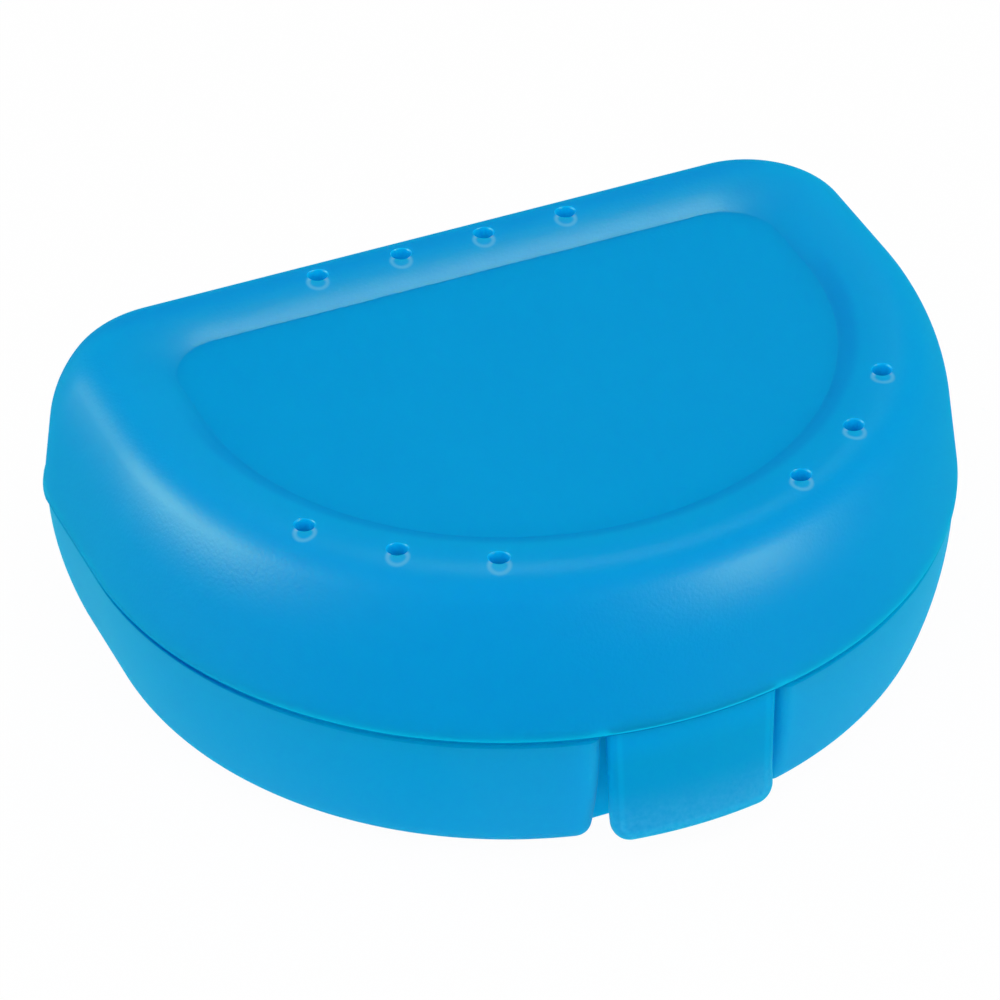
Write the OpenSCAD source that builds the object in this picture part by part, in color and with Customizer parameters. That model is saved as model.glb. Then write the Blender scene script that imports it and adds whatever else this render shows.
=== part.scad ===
// Retainer case: a D-shaped box with a domed, vented lid, a rear snap hinge and a front latch flap.
// Millimetres. X is the width, +Y points to the hinge, +Z is up, and the case stands on z = 0.

/* [Outline] */
// Width of the lid at its lower edge, which is twice the radius of the front arc
case_w = 80; // [64:0.5:110]
// From the centre of the front arc back to the flat rear face
rear_reach = 22; // [18:0.5:40]
// Radius of the two rear corners at the lid's lower edge
corner_r = 10.7; // [9.5:0.1:16]

/* [Lid] */
// Height of the lid from its lower edge to the crest
lid_h = 14.8; // [12:0.1:24]
// Wall thickness of the lid
lid_wall = 1.8; // [1.4:0.1:2.4]
// Lean of the lid's side wall in degrees
lid_draft = 7; // [2:0.5:9]
// Radius of the shoulder beside the crest
shoulder_r = 4.4; // [3.6:0.1:6]
// Radius of the flank between shoulder and wall
flank_r = 14; // [10:0.5:18]
// Turn of the shoulder, in degrees, before the flank takes over
shoulder_turn = 60; // [45:1:70]
// Height of the stiffening band round the hinge side
band_h = 0.8; // [0.8:0.1:2]
// How far that band stands proud
band_proud = 0.1; // [0.05:0.05:0.3]

/* [Lid panel] */
// Distance of the sunk panel's edge from the lid's lower edge, in plan
panel_inset = 10.95; // [9.5:0.05:14]
// Depth of the panel below the crest
panel_depth = 1.1; // [0.6:0.1:1.6]
// Radius of the panel's rear corners
panel_corner_r = 5.3; // [3:0.1:8]
// Level land left between the crest and the slope down to the panel
crest_land = 0.4; // [0.2:0.1:1]
// Angle, in degrees, at which the slope leaves the crest
slope_start = 2; // [1:0.5:4]

/* [Vents] */
// Diameter of a vent hole
vent_d = 1.75; // [1:0.05:2.5]
// Distance of the vents outside the panel's edge
vent_out = 4.2; // [3:0.1:5]
// Spacing of the four rear vents
rear_vent_pitch = 8.1; // [5:0.1:12]
// Angle of the first front vent from the front axis, in degrees
front_vent_start = 25; // [15:1:32]
// Angle between front vents, in degrees
front_vent_step = 15; // [8:1:18]

/* [Base] */
// Height of the base to its rim
base_h = 14.2; // [12:0.1:24]
// Wall thickness of the base
base_wall = 1.8; // [1.4:0.1:2.4]
// Radius of the base wall's outward bow, which is upright at the rim
bow_r = 34; // [28:1:60]
// Outer radius of the bottom edge
base_r = 4.4; // [3:0.1:6]
// Step of the base rim inside the lid's edge
base_step = 0.3; // [0.1:0.05:0.6]
// Gap between the base rim and the closed lid
parting_gap = 0.2; // [0.1:0.05:0.4]
// Height of the locating lip above the rim
lip_h = 1.6; // [1:0.1:3]
// Thickness of the locating lip
lip_t = 1; // [0.8:0.1:1.4]
// Depth of the lip's root below the rim
lip_root = 1; // [0.8:0.1:2]
// Running clearance between the lip and the lid
lip_gap = 0.25; // [0.15:0.05:0.5]

/* [Finger recess] */
// Gap at each side between the flap and the recess
recess_side_gap = 0.3; // [0.2:0.1:1.5]
// Depth of the recess behind the lid's front edge, at the rim
recess_depth = 3.2; // [3:0.1:4.5]
// Lean of the recess's back wall in degrees
recess_lean = 8.5; // [6:0.5:10]
// Radius on the recess's two upright edges
recess_edge_r = 1.2; // [0.6:0.1:1.3]

/* [Latch] */
// Width of the flap at its root
flap_w = 15.7; // [12:0.1:20]
// Loss of width from the flap's root to its foot
flap_taper = 0.5; // [0:0.1:1.5]
// Height of the flap below the rim
flap_h = 11.8; // [9:0.1:12.4]
// Thickness of the flap
flap_t = 1.3; // [1:0.1:1.5]
// Setback of the flap's face behind the lid's edge
flap_set = 0.42; // [0.4:0.01:0.7]
// Radius of the flap's lower corners
flap_corner_r = 2.2; // [1:0.1:3]
// How far the flap's lower lip kicks out
flap_kick = 0.4; // [0:0.05:0.4]
// Height of the kicked-out lip
flap_kick_h = 3.6; // [2:0.1:6]
// Radius of the bead that the flap turns on
bead_r = 0.35; // [0.3:0.05:0.45]
// Length of that bead
bead_len = 6; // [4:0.5:7]
// Clearance round the bead
bead_gap = 0.05; // [0.03:0.01:0.1]
// Length of the catch and the hook
catch_len = 6; // [4:0.5:7]
// How far the catch stands out from the recess wall
catch_out = 0.75; // [0.5:0.05:0.85]
// Height of the catch
catch_h = 1; // [0.8:0.1:1.5]
// Distance of the catch below the rim
catch_drop = 0.6; // [0.4:0.1:1.5]
// How far the hook stands out from the flap
hook_out = 1.2; // [1:0.05:1.3]
// Height of the hook
hook_h = 1; // [0.8:0.1:1.5]
// Height of the blunt tip on the catch and the hook
catch_tip_h = 0.35; // [0.2:0.05:0.5]
// Play between the hook and the catch
hook_gap = 0.15; // [0.1:0.05:0.3]

/* [Hinge] */
// Distance of each hinge from the middle
hinge_x = 21; // [14:0.5:21.5]
// Distance of the pivot axis behind the rear face
pivot_out = 2.6; // [2.5:0.05:3.5]
// Diameter of the hinge rods
rod_d = 2.4; // [1.8:0.1:2.6]
// Clearance between rod and clip, on the diameter
rod_gap = 0.1; // [0.06:0.02:0.2]
// Outer radius of ears and clips
knuckle_r = 2.2; // [2:0.05:2.25]
// Width of a clip
clip_w = 8; // [5:0.5:9]
// Width of an ear
ear_w = 2; // [1.5:0.1:2.5]
// Side play between a clip and its ears
knuckle_gap = 0.2; // [0.1:0.05:0.4]
// Width of the clip's mouth
clip_mouth = 1.9; // [1.5:0.1:2]
// Height of the clip's root on the lid wall
clip_root_h = 2.5; // [2:0.1:4]
// Height of an ear's foot on the base wall
ear_foot_h = 6; // [4:0.5:8]
// Angle, in degrees, below the pivot at which an ear's back runs down to its foot
ear_back_turn = 30; // [20:1:40]

/* [Hidden] */
$fn = 96;
// Sides of the large circles in sections
fine_fn = 256;
shell_colour = "#0595d2";
lid_colour = "#0a9ad8";
detail_colour = "#2ba6dd";
// Overlap of cutting tools past the faces that they cut
over = 1;
half_w = case_w / 2;
rear_extent = rear_reach + pivot_out + knuckle_r;
// Puts the middle of the overall depth on y = 0
arc_y = (half_w - rear_extent) / 2;
lid_z = base_h + parting_gap;

// Shoulder and flank of the lid, as heights above the lid's edge and distances from the arc's centre
crest_z = lid_h;
turn_z = crest_z - shoulder_r * (1 - cos(shoulder_turn));
wall_z = turn_z - flank_r * (cos(shoulder_turn) - sin(lid_draft));
shoulder_run = shoulder_r * sin(shoulder_turn);
flank_run = flank_r * (cos(lid_draft) - sin(shoulder_turn));
crest_x = half_w - shoulder_run - flank_run - wall_z * tan(lid_draft);
shoulder_c = [crest_x, crest_z - shoulder_r];
turn_dir = [sin(shoulder_turn), cos(shoulder_turn)];
flank_c = shoulder_c + (shoulder_r - flank_r) * turn_dir;

// Sunk panel and the slope that leads down to it
panel_half = half_w - panel_inset;
panel_rear = rear_reach - panel_inset;
rim_x = crest_x - crest_land;
slope_run = rim_x - panel_half;
slope_turn = atan(panel_depth / slope_run) - slope_start;
slope_r = norm([slope_run, panel_depth]) / (2 * sin(slope_turn));
slope_c = [rim_x + slope_r * sin(slope_start), crest_z - slope_r * cos(slope_start)];

// Base wall, bowed outward, and its bottom edge
base_half = half_w - base_step;
base_rear = rear_reach - base_step;
base_corner = corner_r - base_step;
bow_c = [base_half - bow_r, base_h];
foot_turn = asin((base_h - base_r) / (bow_r - base_r));
edge_c = bow_c + (bow_r - base_r) * [cos(foot_turn), -sin(foot_turn)];
lid_inner_half = half_w - lid_wall / cos(lid_draft);
lip_x = lid_inner_half - lip_h * tan(lid_draft) - lip_gap;

// Finger recess and latch
recess_half = flap_w / 2 + recess_side_gap;
recess_y = recess_depth - half_w;
flap_r = half_w - flap_set;
flap_in_r = flap_r - flap_t;
flap_foot_z = base_h - flap_h;
bead_y = -(flap_r - bead_r);
catch_z = base_h - catch_drop;
hook_z = catch_z - catch_h - hook_gap;
clip_r = rod_d / 2 + rod_gap / 2;
rod_len = clip_w + 2 * knuckle_gap;
pivot_y = rear_reach + pivot_out;
pivot_z = base_h + parting_gap / 2;

function at_angle(a) = [cos(a), sin(a)];
function lid_rear_y(z) = rear_reach - (z - lid_z) * tan(lid_draft);
function recess_wall_y(z) = recess_y + (base_h - z) * tan(recess_lean);

// Slice of a disc between two directions less than 90 degrees apart
module slice(centre, radius, from, to, sides = $fn) {
    reach = 1.5 * radius;
    intersection() {
        translate(centre) circle(radius, $fn = sides);
        polygon([centre, centre + reach * at_angle(from), centre + reach * at_angle(to)]);
    }
}

// Carries a half section round the D: front arc, straight sides, rear corners and rear wall.
// The section's x runs outward from the arc's centre.
module d_sweep(half, rear, corner, front = true) {
    side = rear - corner;
    inner = half - corner;
    if (front) {
        rotate([0, 0, 180]) rotate_extrude(angle = 180) children();
        for (flip = [0, 1])
            translate([0, side, 0]) rotate([90, 0, 0]) linear_extrude(side) mirror([flip, 0]) children();
    }
    for (flip = [0, 1])
        mirror([flip, 0, 0]) translate([inner, side, 0]) rotate_extrude(angle = 90)
            outward_of(inner, half) children();
    translate([-inner, side, 0]) rotate([90, 0, 90]) linear_extrude(2 * inner)
        outward_of(inner, half) children();
}

// The part of a section beyond a distance from the arc's centre, moved to start there
module outward_of(inner, reach) {
    intersection() {
        translate([-inner, 0]) children();
        translate([0, -reach]) square([reach, 3 * reach]);
    }
}

// Section of the lid's dome, drawn in from the outside by a wall
module dome_section(wall, below) {
    wall_dir = at_angle(lid_draft);
    wall_top = flank_c + (flank_r - wall) * wall_dir;
    turn = shoulder_c + (shoulder_r - wall) * turn_dir;
    foot_x = wall_top[0] + (wall_top[1] + below) * tan(lid_draft);
    top = crest_z - wall;
    polygon([[0, -below], [foot_x, -below], wall_top, turn, [crest_x, top], [0, top]]);
    slice(shoulder_c, shoulder_r - wall, 90 - shoulder_turn, 90);
    slice(flank_c, flank_r - wall, lid_draft, 90 - shoulder_turn);
}

// Section of the dish that sinks the panel, lowered by a wall
module dish_section(drop) {
    floor_z = crest_z - panel_depth;
    translate([0, -drop]) difference() {
        polygon([[0, floor_z], [panel_half, floor_z], [rim_x, crest_z], [rim_x, crest_z + over],
                 [0, crest_z + over]]);
        translate(slope_c) circle(slope_r, $fn = fine_fn);
    }
}

module dish(drop) {
    d_sweep(panel_half, panel_rear, panel_corner_r) dish_section(drop);
}

// Section of the base, drawn in from the outside by a wall
module base_section(wall, above) {
    wall_foot = edge_c + (base_r - wall) * at_angle(-foot_turn);
    rim_x = base_half - wall;
    top = base_h + above;
    polygon([[0, wall], [edge_c[0], wall], wall_foot, [rim_x, base_h], [rim_x, top], [0, top]]);
    slice(bow_c, bow_r - wall, -foot_turn, 0, fine_fn);
    slice(edge_c, base_r - wall, -90, -foot_turn);
}

// Section of the lip that locates the closed lid, with a sloped underside
module lip_section() {
    inside = lip_x - lip_t;
    seat = base_half - base_wall / 2;
    foot_z = base_h - lip_root;
    polygon([[inside, foot_z], [seat, foot_z - (seat - inside)], [seat, base_h], [lip_x, base_h],
             [lip_x, base_h + lip_h], [inside, base_h + lip_h]]);
}

// Side view, in (y, z), of all that lies in front of the recess's back wall set back by a wall
module before_recess(wall) {
    back = wall / cos(recess_lean);
    front = -half_w - over;
    top = base_h + lip_h + over;
    polygon([[front, -over], [recess_wall_y(-over) + back, -over], [recess_wall_y(top) + back, top],
             [front, top]]);
}

// The same for the recess itself, whose back wall has a rounded foot like the rest of the base
module recess_view() {
    front = -half_w - over;
    top = base_h + lip_h + over;
    foot_c = [recess_wall_y(base_r) + base_r / cos(recess_lean), base_r];
    foot_top = foot_c - base_r * at_angle(recess_lean);
    difference() {
        polygon([[front, -over], [foot_c[0], -over], [foot_c[0], 0], foot_top, [recess_wall_y(top), top],
                 [front, top]]);
        slice(foot_c, base_r, 180 + recess_lean, 225);
        slice(foot_c, base_r, 225, 270);
    }
}

// Lays a (y, z) outline across X, centred
module across(width) {
    translate([-width / 2, 0, 0]) rotate([90, 0, 90]) linear_extrude(width) children();
}

// Space of the finger recess: a leaning slot with rounded upright edges and a rounded foot
module recess_space() {
    across(2 * recess_half) recess_view();
    for (flip = [0, 1]) mirror([flip, 0, 0]) recess_edge();
}

// Rounds one upright edge of the recess where it meets the base's outer face, along the wall's bow
module recess_edge() {
    edge_y = -sqrt(pow(base_half, 2) - pow(recess_half + recess_edge_r, 2));
    above = asin((lip_h + over) / bow_r);
    below = asin(base_h / bow_r) + above;
    translate([recess_half, edge_y + bow_r, base_h]) rotate([0, 90, 0]) rotate([0, 0, 270 - above])
        rotate_extrude(angle = below + above, $fn = fine_fn) difference() {
            translate([bow_r - recess_edge_r, -recess_edge_r]) square(2 * recess_edge_r);
            translate([bow_r - recess_edge_r, recess_edge_r]) circle(recess_edge_r, $fn = 48);
        }
}

// Base tray with the locating lip and the finger recess
module base_shell() {
    color(shell_colour) translate([0, arc_y, 0]) difference() {
        union() {
            difference() {
                d_sweep(base_half, base_rear, base_corner) base_section(0, 0);
                difference() {
                    d_sweep(base_half, base_rear, base_corner) base_section(base_wall, over);
                    across(2 * (recess_half + base_wall)) before_recess(base_wall);
                }
            }
            difference() {
                d_sweep(base_half, base_rear, base_corner) lip_section();
                across(2 * (recess_half + base_wall)) before_recess(2 * base_wall);
            }
        }
        recess_space();
    }
}

// Lid: dome, sunk panel, vents, hinge-side band and the groove that the flap turns in
module lid_shell() {
    color(lid_colour) translate([0, arc_y, lid_z]) difference() {
        union() {
            d_sweep(half_w, rear_reach, corner_r) dome_section(0, 0);
            d_sweep(half_w, rear_reach, corner_r, front = false) band_section();
        }
        difference() {
            d_sweep(half_w, rear_reach, corner_r) dome_section(lid_wall, over);
            dish(lid_wall);
        }
        dish(0);
        vents();
        translate([0, bead_y, 0]) across_rod(bead_r + bead_gap, bead_len + 2 * bead_gap);
    }
}

// Section of the band that stiffens the lid's hinge side
module band_section() {
    inside = half_w - lid_wall / 2;
    foot_x = half_w + band_proud;
    polygon([[inside, 0], [foot_x, 0], [foot_x - band_h * tan(lid_draft), band_h], [inside, band_h]]);
}

// Rod along X, centred
module across_rod(radius, length) {
    rotate([0, 90, 0]) cylinder(r = radius, h = length, center = true);
}

// Ten vent holes along the crest: a rear row and three at each side of the front
module vents() {
    for (i = [-1.5 : 1.5])
        translate([i * rear_vent_pitch, panel_rear + vent_out, 0]) vent();
    for (side = [-1, 1], i = [0 : 2])
        rotate([0, 0, side * (front_vent_start + i * front_vent_step)])
            translate([0, -panel_half - vent_out, 0]) vent();
}

module vent() {
    depth = lid_wall + panel_depth + over;
    translate([0, 0, crest_z - depth]) cylinder(d = vent_d, h = depth + over);
}

// Pair of ears on the base that carry one hinge rod
module hinge_ears() {
    foot_z = base_h - ear_foot_h;
    pivot = [pivot_y, pivot_z];
    wall_c = [base_rear - bow_r, base_h];
    wall_y = wall_c[0] + sqrt(pow(bow_r, 2) - pow(ear_foot_h, 2));
    color(detail_colour) for (side = [-1, 1])
        translate([side * (rod_len + ear_w) / 2, arc_y, 0]) across(ear_w) difference() {
            union() {
                translate(pivot) circle(knuckle_r);
                polygon([[wall_y, foot_z], pivot + knuckle_r * at_angle(-ear_back_turn), [pivot_y, base_h],
                         [wall_y, base_h]]);
            }
            translate(wall_c) circle(bow_r, $fn = fine_fn);
        }
}

// Rod between a pair of ears
module hinge_rod() {
    color(detail_colour) translate([0, arc_y + pivot_y, pivot_z]) across_rod(rod_d / 2, rod_len);
}

// Snap clip on the lid, open below so that it presses over its rod
module hinge_clip() {
    low = lid_z + parting_gap;
    step = lid_z + band_h;
    high = lid_z + clip_root_h;
    color(detail_colour) translate([0, arc_y, 0]) across(clip_w) difference() {
        union() {
            translate([pivot_y, pivot_z]) circle(knuckle_r);
            polygon([[lid_rear_y(low) + band_proud, low], [pivot_y, pivot_z], [pivot_y, pivot_z + knuckle_r],
                     [lid_rear_y(high), high], [lid_rear_y(step), step], [lid_rear_y(step) + band_proud, step]]);
        }
        translate([pivot_y, pivot_z]) circle(clip_r);
        translate([pivot_y - clip_mouth / 2, pivot_z - knuckle_r - over]) square([clip_mouth, knuckle_r + over]);
    }
}

// Ridge on the recess wall that holds the hook down
module latch_catch() {
    low = catch_z - catch_h;
    color(detail_colour) translate([0, arc_y, 0]) across(catch_len)
        polygon([[recess_wall_y(catch_z), catch_z], [recess_wall_y(low), low],
                 [recess_wall_y(low) - catch_out, low], [recess_wall_y(low) - catch_out, low + catch_tip_h]]);
}

// Section of the flap: a plain plate with a kicked-out, rounded lower lip
module flap_section() {
    tip_z = flap_foot_z + flap_t / 2;
    bend_z = flap_foot_z + flap_kick_h;
    polygon([[flap_in_r, base_h], [flap_r, base_h], [flap_r, bend_z], [flap_r + flap_kick, tip_z],
             [flap_in_r + flap_kick, tip_z], [flap_in_r, bend_z]]);
    translate([flap_r + flap_kick - flap_t / 2, tip_z]) circle(flap_t / 2);
}

// Front outline of the flap: straight tapering sides and rounded lower corners
module flap_outline() {
    foot_half = (flap_w - flap_taper) / 2;
    corner_x = foot_half - flap_corner_r;
    corner_z = flap_foot_z + flap_corner_r;
    polygon([[-flap_w / 2, base_h], [flap_w / 2, base_h], [foot_half, corner_z], [corner_x, flap_foot_z],
             [-corner_x, flap_foot_z], [-foot_half, corner_z]]);
    for (side = [-1, 1]) translate([side * corner_x, corner_z]) circle(flap_corner_r);
}

// Revolves a section through an arc centred on the front
module front_arc(angle) {
    rotate([0, 0, 270 - angle / 2]) rotate_extrude(angle = angle) children();
}

// Latch flap that hangs from the lid's front edge and turns on a bead in its groove
module latch_flap() {
    flap_angle = 3 * asin(flap_w / 2 / flap_in_r);
    color(lid_colour) translate([0, arc_y, 0]) {
        intersection() {
            front_arc(flap_angle) flap_section();
            rotate([90, 0, 0]) linear_extrude(half_w + over) flap_outline();
        }
        translate([0, bead_y, lid_z]) across_rod(bead_r, bead_len);
    }
}

// Hook inside the flap that snaps below the catch
module latch_hook() {
    angle = 2 * asin(catch_len / 2 / flap_in_r);
    tip_r = flap_in_r - hook_out;
    color(detail_colour) translate([0, arc_y, 0]) front_arc(angle)
        polygon([[flap_in_r, hook_z], [tip_r, hook_z], [tip_r, hook_z - catch_tip_h],
                 [flap_in_r, hook_z - hook_h]]);
}

base_shell();
translate([-hinge_x, 0, 0]) hinge_ears();  // left_hinge_ears
translate([hinge_x, 0, 0]) hinge_ears();  // right_hinge_ears
translate([-hinge_x, 0, 0]) hinge_rod();  // left_hinge_rod
translate([hinge_x, 0, 0]) hinge_rod();  // right_hinge_rod
latch_catch();
lid_shell();
translate([-hinge_x, 0, 0]) hinge_clip();  // left_hinge_clip
translate([hinge_x, 0, 0]) hinge_clip();  // right_hinge_clip
latch_flap();
latch_hook();
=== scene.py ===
"""Frosted blue retainer case: smooth shells, latch flap and snap hinge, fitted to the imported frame.

Lengths are in millimetres until a mesh is made, and meshes are in metres.
"""

import math

import bmesh
import bpy
from mathutils import Matrix, Vector


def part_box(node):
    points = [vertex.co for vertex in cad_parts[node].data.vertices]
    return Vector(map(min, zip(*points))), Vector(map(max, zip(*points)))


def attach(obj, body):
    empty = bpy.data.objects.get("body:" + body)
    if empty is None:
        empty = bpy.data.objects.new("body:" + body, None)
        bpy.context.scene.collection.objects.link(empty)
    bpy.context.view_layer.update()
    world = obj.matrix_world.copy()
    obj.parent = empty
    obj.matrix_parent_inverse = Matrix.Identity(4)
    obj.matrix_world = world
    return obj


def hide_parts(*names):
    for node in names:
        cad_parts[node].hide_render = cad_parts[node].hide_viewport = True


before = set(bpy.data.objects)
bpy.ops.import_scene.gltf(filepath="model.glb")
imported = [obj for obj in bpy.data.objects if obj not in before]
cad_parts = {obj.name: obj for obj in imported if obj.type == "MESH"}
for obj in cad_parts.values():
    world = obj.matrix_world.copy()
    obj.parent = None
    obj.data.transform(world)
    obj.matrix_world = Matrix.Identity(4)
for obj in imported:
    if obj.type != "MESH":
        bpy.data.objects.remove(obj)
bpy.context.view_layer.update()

MM = 0.001
# Points closer than this are one point
MERGE_GAP = 0.002
# Most of a side that the rounding of one of its corners may take
ROUND_SHARE = 0.45


def node_box(node):
    """Lowest and highest corner of a node, in millimetres."""
    low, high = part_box(node)
    return low / MM, high / MM


# Places read from the frame
lid_low, lid_high = node_box("lid_shell")
base_high = node_box("base_shell")[1]
flap_low = node_box("latch_flap")[0]
rod_low, rod_high = node_box("right_hinge_rod")
clip_low, clip_high = node_box("right_hinge_clip")
ears_low, ears_high = node_box("right_hinge_ears")

# Outline of the case in plan
half_w = 40.0
rear_reach = 22.0
corner_r = 10.7
crest_corner_r = 6.7
arc_y = lid_low.y + half_w

# Lid
lid_z = lid_low.z
lid_h = lid_high.z - lid_low.z
lid_wall = 1.8
lid_draft = 7.0
shoulder_r = 4.4
flank_r = 14.0
shoulder_turn = 60.0
band_h = 0.8
band_proud = lid_high.x - half_w
band_blend = 0.12
band_top_share = 0.9
band_clear = 0.2
edge_round = 0.2

# Sunk panel
panel_inset = 10.95
panel_depth = 1.1
panel_corner_r = 5.3
crest_land = 0.4
slope_start = 2.0
panel_round = 0.3
panel_run = 2.0
# Least upward share of a panel face's normal, and its greatest height above the panel
level_normal = 0.999
level_margin = 0.01

# Painted shade on the lid in a band at the panel's foot: width, soft edge, share, and where in Y it fades
foot_band = 2.2
foot_band_low = -0.1
foot_band_high = 0.2
foot_band_shade_share = 0.3
foot_band_start = 6.0
foot_band_full = -8.0

# Painted shade on the lid behind its crest: its share, and where it starts and is full
rear_shade = 0.35
rear_shade_start = -2.0
rear_shade_full = 1.0

# Painted shade along the parting line: angles from the front at which it starts and is full
seam_start = 45.0
seam_full = 70.0

# Vents
vent_d = 1.75
vent_out = 4.2
rear_vent_pitch = 8.1
front_vent_start = 25.0
front_vent_step = 15.0
vent_flare = 0.18
# Offset and width of the painted glint in front of a vent, standing in for its lower edge seen through the
# wall
glint_shift = Vector((-0.4, -1.0))
glint_w = 0.32

# Base
base_h = 14.2
base_wall = 1.8
bow_r = 34.0
base_r = 4.4
base_step = 0.3
base_corner_loss = 0.2
rim_round = 0.6
lip_t = 1.0
lip_gap = 0.25
lip_h = base_high.z - base_h
lip_root = 1.0
lip_foot = 1.0

# Latch flap
flap_w = 15.7
flap_taper = 0.5
flap_t = 1.3
flap_set = 0.42
flap_corner_r = 1.7
flap_kick = 0.4
flap_kick_h = 3.6
flap_edge_r = 0.6
flap_edge_power = 2.4
flap_gap = 0.02
flap_crease = 50
flap_root_z = lid_z - flap_gap
# Heights over which the foot takes a painted highlight and the head is painted lighter, from foot and root
flap_foot_highlight_start = 6.0
flap_foot_highlight_full = 0.8
flap_head_lit_start = 4.0
flap_head_lit_full = 0.5
# Width of the painted shade and highlight lines along the flap's edge, and their places across it with their
# levels
flap_edge_light_w = 1.4
flap_edge_light_lines = ((0.2, 0.46), (0.36, 0.46), (0.5, 0.53), (0.66, 0.54), (0.85, 0.5))

# Finger recess
recess_side_gap = 0.3
recess_half = flap_w / 2 + recess_side_gap
recess_depth = 3.2
recess_edge_r = 1.3
recess_edge_foot_r = 1.1
recess_corner_r = 0.3
recess_inner_edge_r = 0.5
recess_inner_corner_r = 0.6
recess_margin = 0.1
# Most rearward share of a face's normal for it to count as part of the recess
recess_facing = 0.2

# Hinge
rod_r = (rod_high.z - rod_low.z) / 2
pivot_y = (rod_low.y + rod_high.y) / 2
pivot_z = (rod_low.z + rod_high.z) / 2
knuckle_r = ears_high.y - pivot_y
clip_w = clip_high.x - clip_low.x
clip_play = 0.05
clip_r = rod_r + clip_play
clip_mouth = 1.9
clip_root_h = 2.5
clip_root_gap = 0.2
clip_top_turn = 100.0
clip_front_turn = 172.0
clip_round = 0.2
rod_round = 0.05
ear_w = 2.0
ear_back_turn = 30.0
ear_top_turn = 95.0
ear_foot_z = ears_low.z
hinge_x = (rod_low.x + rod_high.x) / 2
rod_len = rod_high.x - rod_low.x
small_round = 0.25
latch_round = 0.1
# Depth to which hinge roots sink into the walls that carry them
root = 0.3

# Steps of the round and straight stretches of an outline
FRONT_STEPS = 96
SIDE_STEPS = 14
CORNER_STEPS = 24
REAR_STEPS = 30

# Steps round the finger recess
NOTCH_STEPS = 12
NOTCH_TURN_STEPS = 8
NOTCH_SIDE_STEPS = 6
NOTCH_EDGE_STEPS = 14
NOTCH_FRONT_STEPS = 76

# Steps up the sections of lid and base, and round the vents, knuckles and end edges
WALL_STEPS = 4
FLANK_STEPS = 12
SHOULDER_STEPS = 18
SLOPE_STEPS = 14
FOOT_STEPS = 16
BOW_STEPS = 10
VENT_STEPS = 48
FLARE_STEPS = 4
KNUCKLE_STEPS = 28
EAR_STEPS = 24
EAR_ROOT_STEPS = 8
BORE_STEPS = 40
END_STEPS = 4


# Plane geometry


def tan(angle):
    """Tangent of an angle in degrees."""
    return math.tan(math.radians(angle))


def sin(angle):
    """Sine of an angle in degrees."""
    return math.sin(math.radians(angle))


def cos(angle):
    """Cosine of an angle in degrees."""
    return math.cos(math.radians(angle))


def arc(centre, radius, start, end, steps):
    """Points of an arc from one angle to another, both ends included."""
    angles = [start + (end - start) * i / steps for i in range(steps + 1)]
    return [(centre[0] + radius * cos(a), centre[1] + radius * sin(a)) for a in angles]


def line(start, end, steps):
    """Points of a straight stretch, both ends included."""
    shares = [i / steps for i in range(steps + 1)]
    return [(start[0] + (end[0] - start[0]) * s, start[1] + (end[1] - start[1]) * s) for s in shares]


def chain(*stretches):
    """Stretches that follow each other, joined without doubled points."""
    points = []
    for stretch in stretches:
        points += stretch[1:] if points else stretch
    return points


def rounded(points, radius, steps=4):
    """An open outline with each inner corner rounded by a tangent arc of about that radius."""
    made = [points[0]]
    for before, corner, after in zip(points, points[1:], points[2:]):
        a = Vector(before) - Vector(corner)
        b = Vector(after) - Vector(corner)
        turn = math.pi - a.angle(b)
        reach = min(radius * math.tan(turn / 2), ROUND_SHARE * a.length, ROUND_SHARE * b.length)
        start = Vector(corner) + a.normalized() * reach
        end = Vector(corner) + b.normalized() * reach
        for i in range(steps + 1):
            t = i / steps
            point = start * (1 - t) ** 2 + Vector(corner) * 2 * t * (1 - t) + end * t ** 2
            made.append(tuple(point))
    made.append(points[-1])
    return made


def mirrored(points):
    """The other half of an outline whose first half starts and ends on x = 0."""
    return [(-x, y) for x, y in reversed(points[1:-1])]


def d_half(half, rear, corner):
    """Right half of a D outline, from the front arc's straight-ahead point to the middle of the rear wall."""
    return chain(
        arc((0, 0), half, 270, 360, FRONT_STEPS),
        d_rear_half(half, rear, corner),
    )


def d_rear_half(half, rear, corner):
    """Right side, rear corner and half of the rear wall of a D outline."""
    side = rear - corner
    inner = half - corner
    return chain(
        line((half, 0), (half, side), SIDE_STEPS),
        arc((inner, side), corner, 0, 90, CORNER_STEPS),
        line((inner, rear), (0, rear), REAR_STEPS),
    )


# Mesh making


def make_object(name, points, faces):
    """A mesh object from points in millimetres."""
    mesh = bpy.data.meshes.new(name)
    mesh.from_pydata([tuple(Vector(p) * MM) for p in points], [], faces)
    work = bmesh.new()
    work.from_mesh(mesh)
    bmesh.ops.remove_doubles(work, verts=work.verts, dist=MERGE_GAP * MM)
    bmesh.ops.recalc_face_normals(work, faces=work.faces)
    work.to_mesh(mesh)
    work.free()
    made = bpy.data.objects.new(name, mesh)
    bpy.context.scene.collection.objects.link(made)
    return made


def smooth(piece, angle=32):
    """Smooth shading with creases kept where faces turn by more than an angle."""
    for face in piece.data.polygons:
        face.use_smooth = True
    piece.data.set_sharp_from_angle(angle=math.radians(angle))


def skin_faces(start, ring_count, count):
    """Faces of a skin through rings of points that follow each other from a start, capped at both ends."""
    faces = []
    for level in range(ring_count - 1):
        low = start + level * count
        high = low + count
        for i in range(count):
            j = (i + 1) % count
            faces.append((low + i, low + j, high + j, high + i))
    last = start + (ring_count - 1) * count
    faces.append(tuple(range(start, start + count)))
    faces.append(tuple(range(last, last + count)))
    return faces


def loft(name, rings):
    """A closed skin through rings with equal counts of points."""
    points = [p for ring in rings for p in ring]
    return make_object(name, points, skin_faces(0, len(rings), len(rings[0])))


def ease(start, end, value):
    """Share from 0 to 1 of a value between two others, with soft ends."""
    share = min(max((value - start) / (end - start), 0), 1)
    return share * share * (3 - 2 * share)


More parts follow.
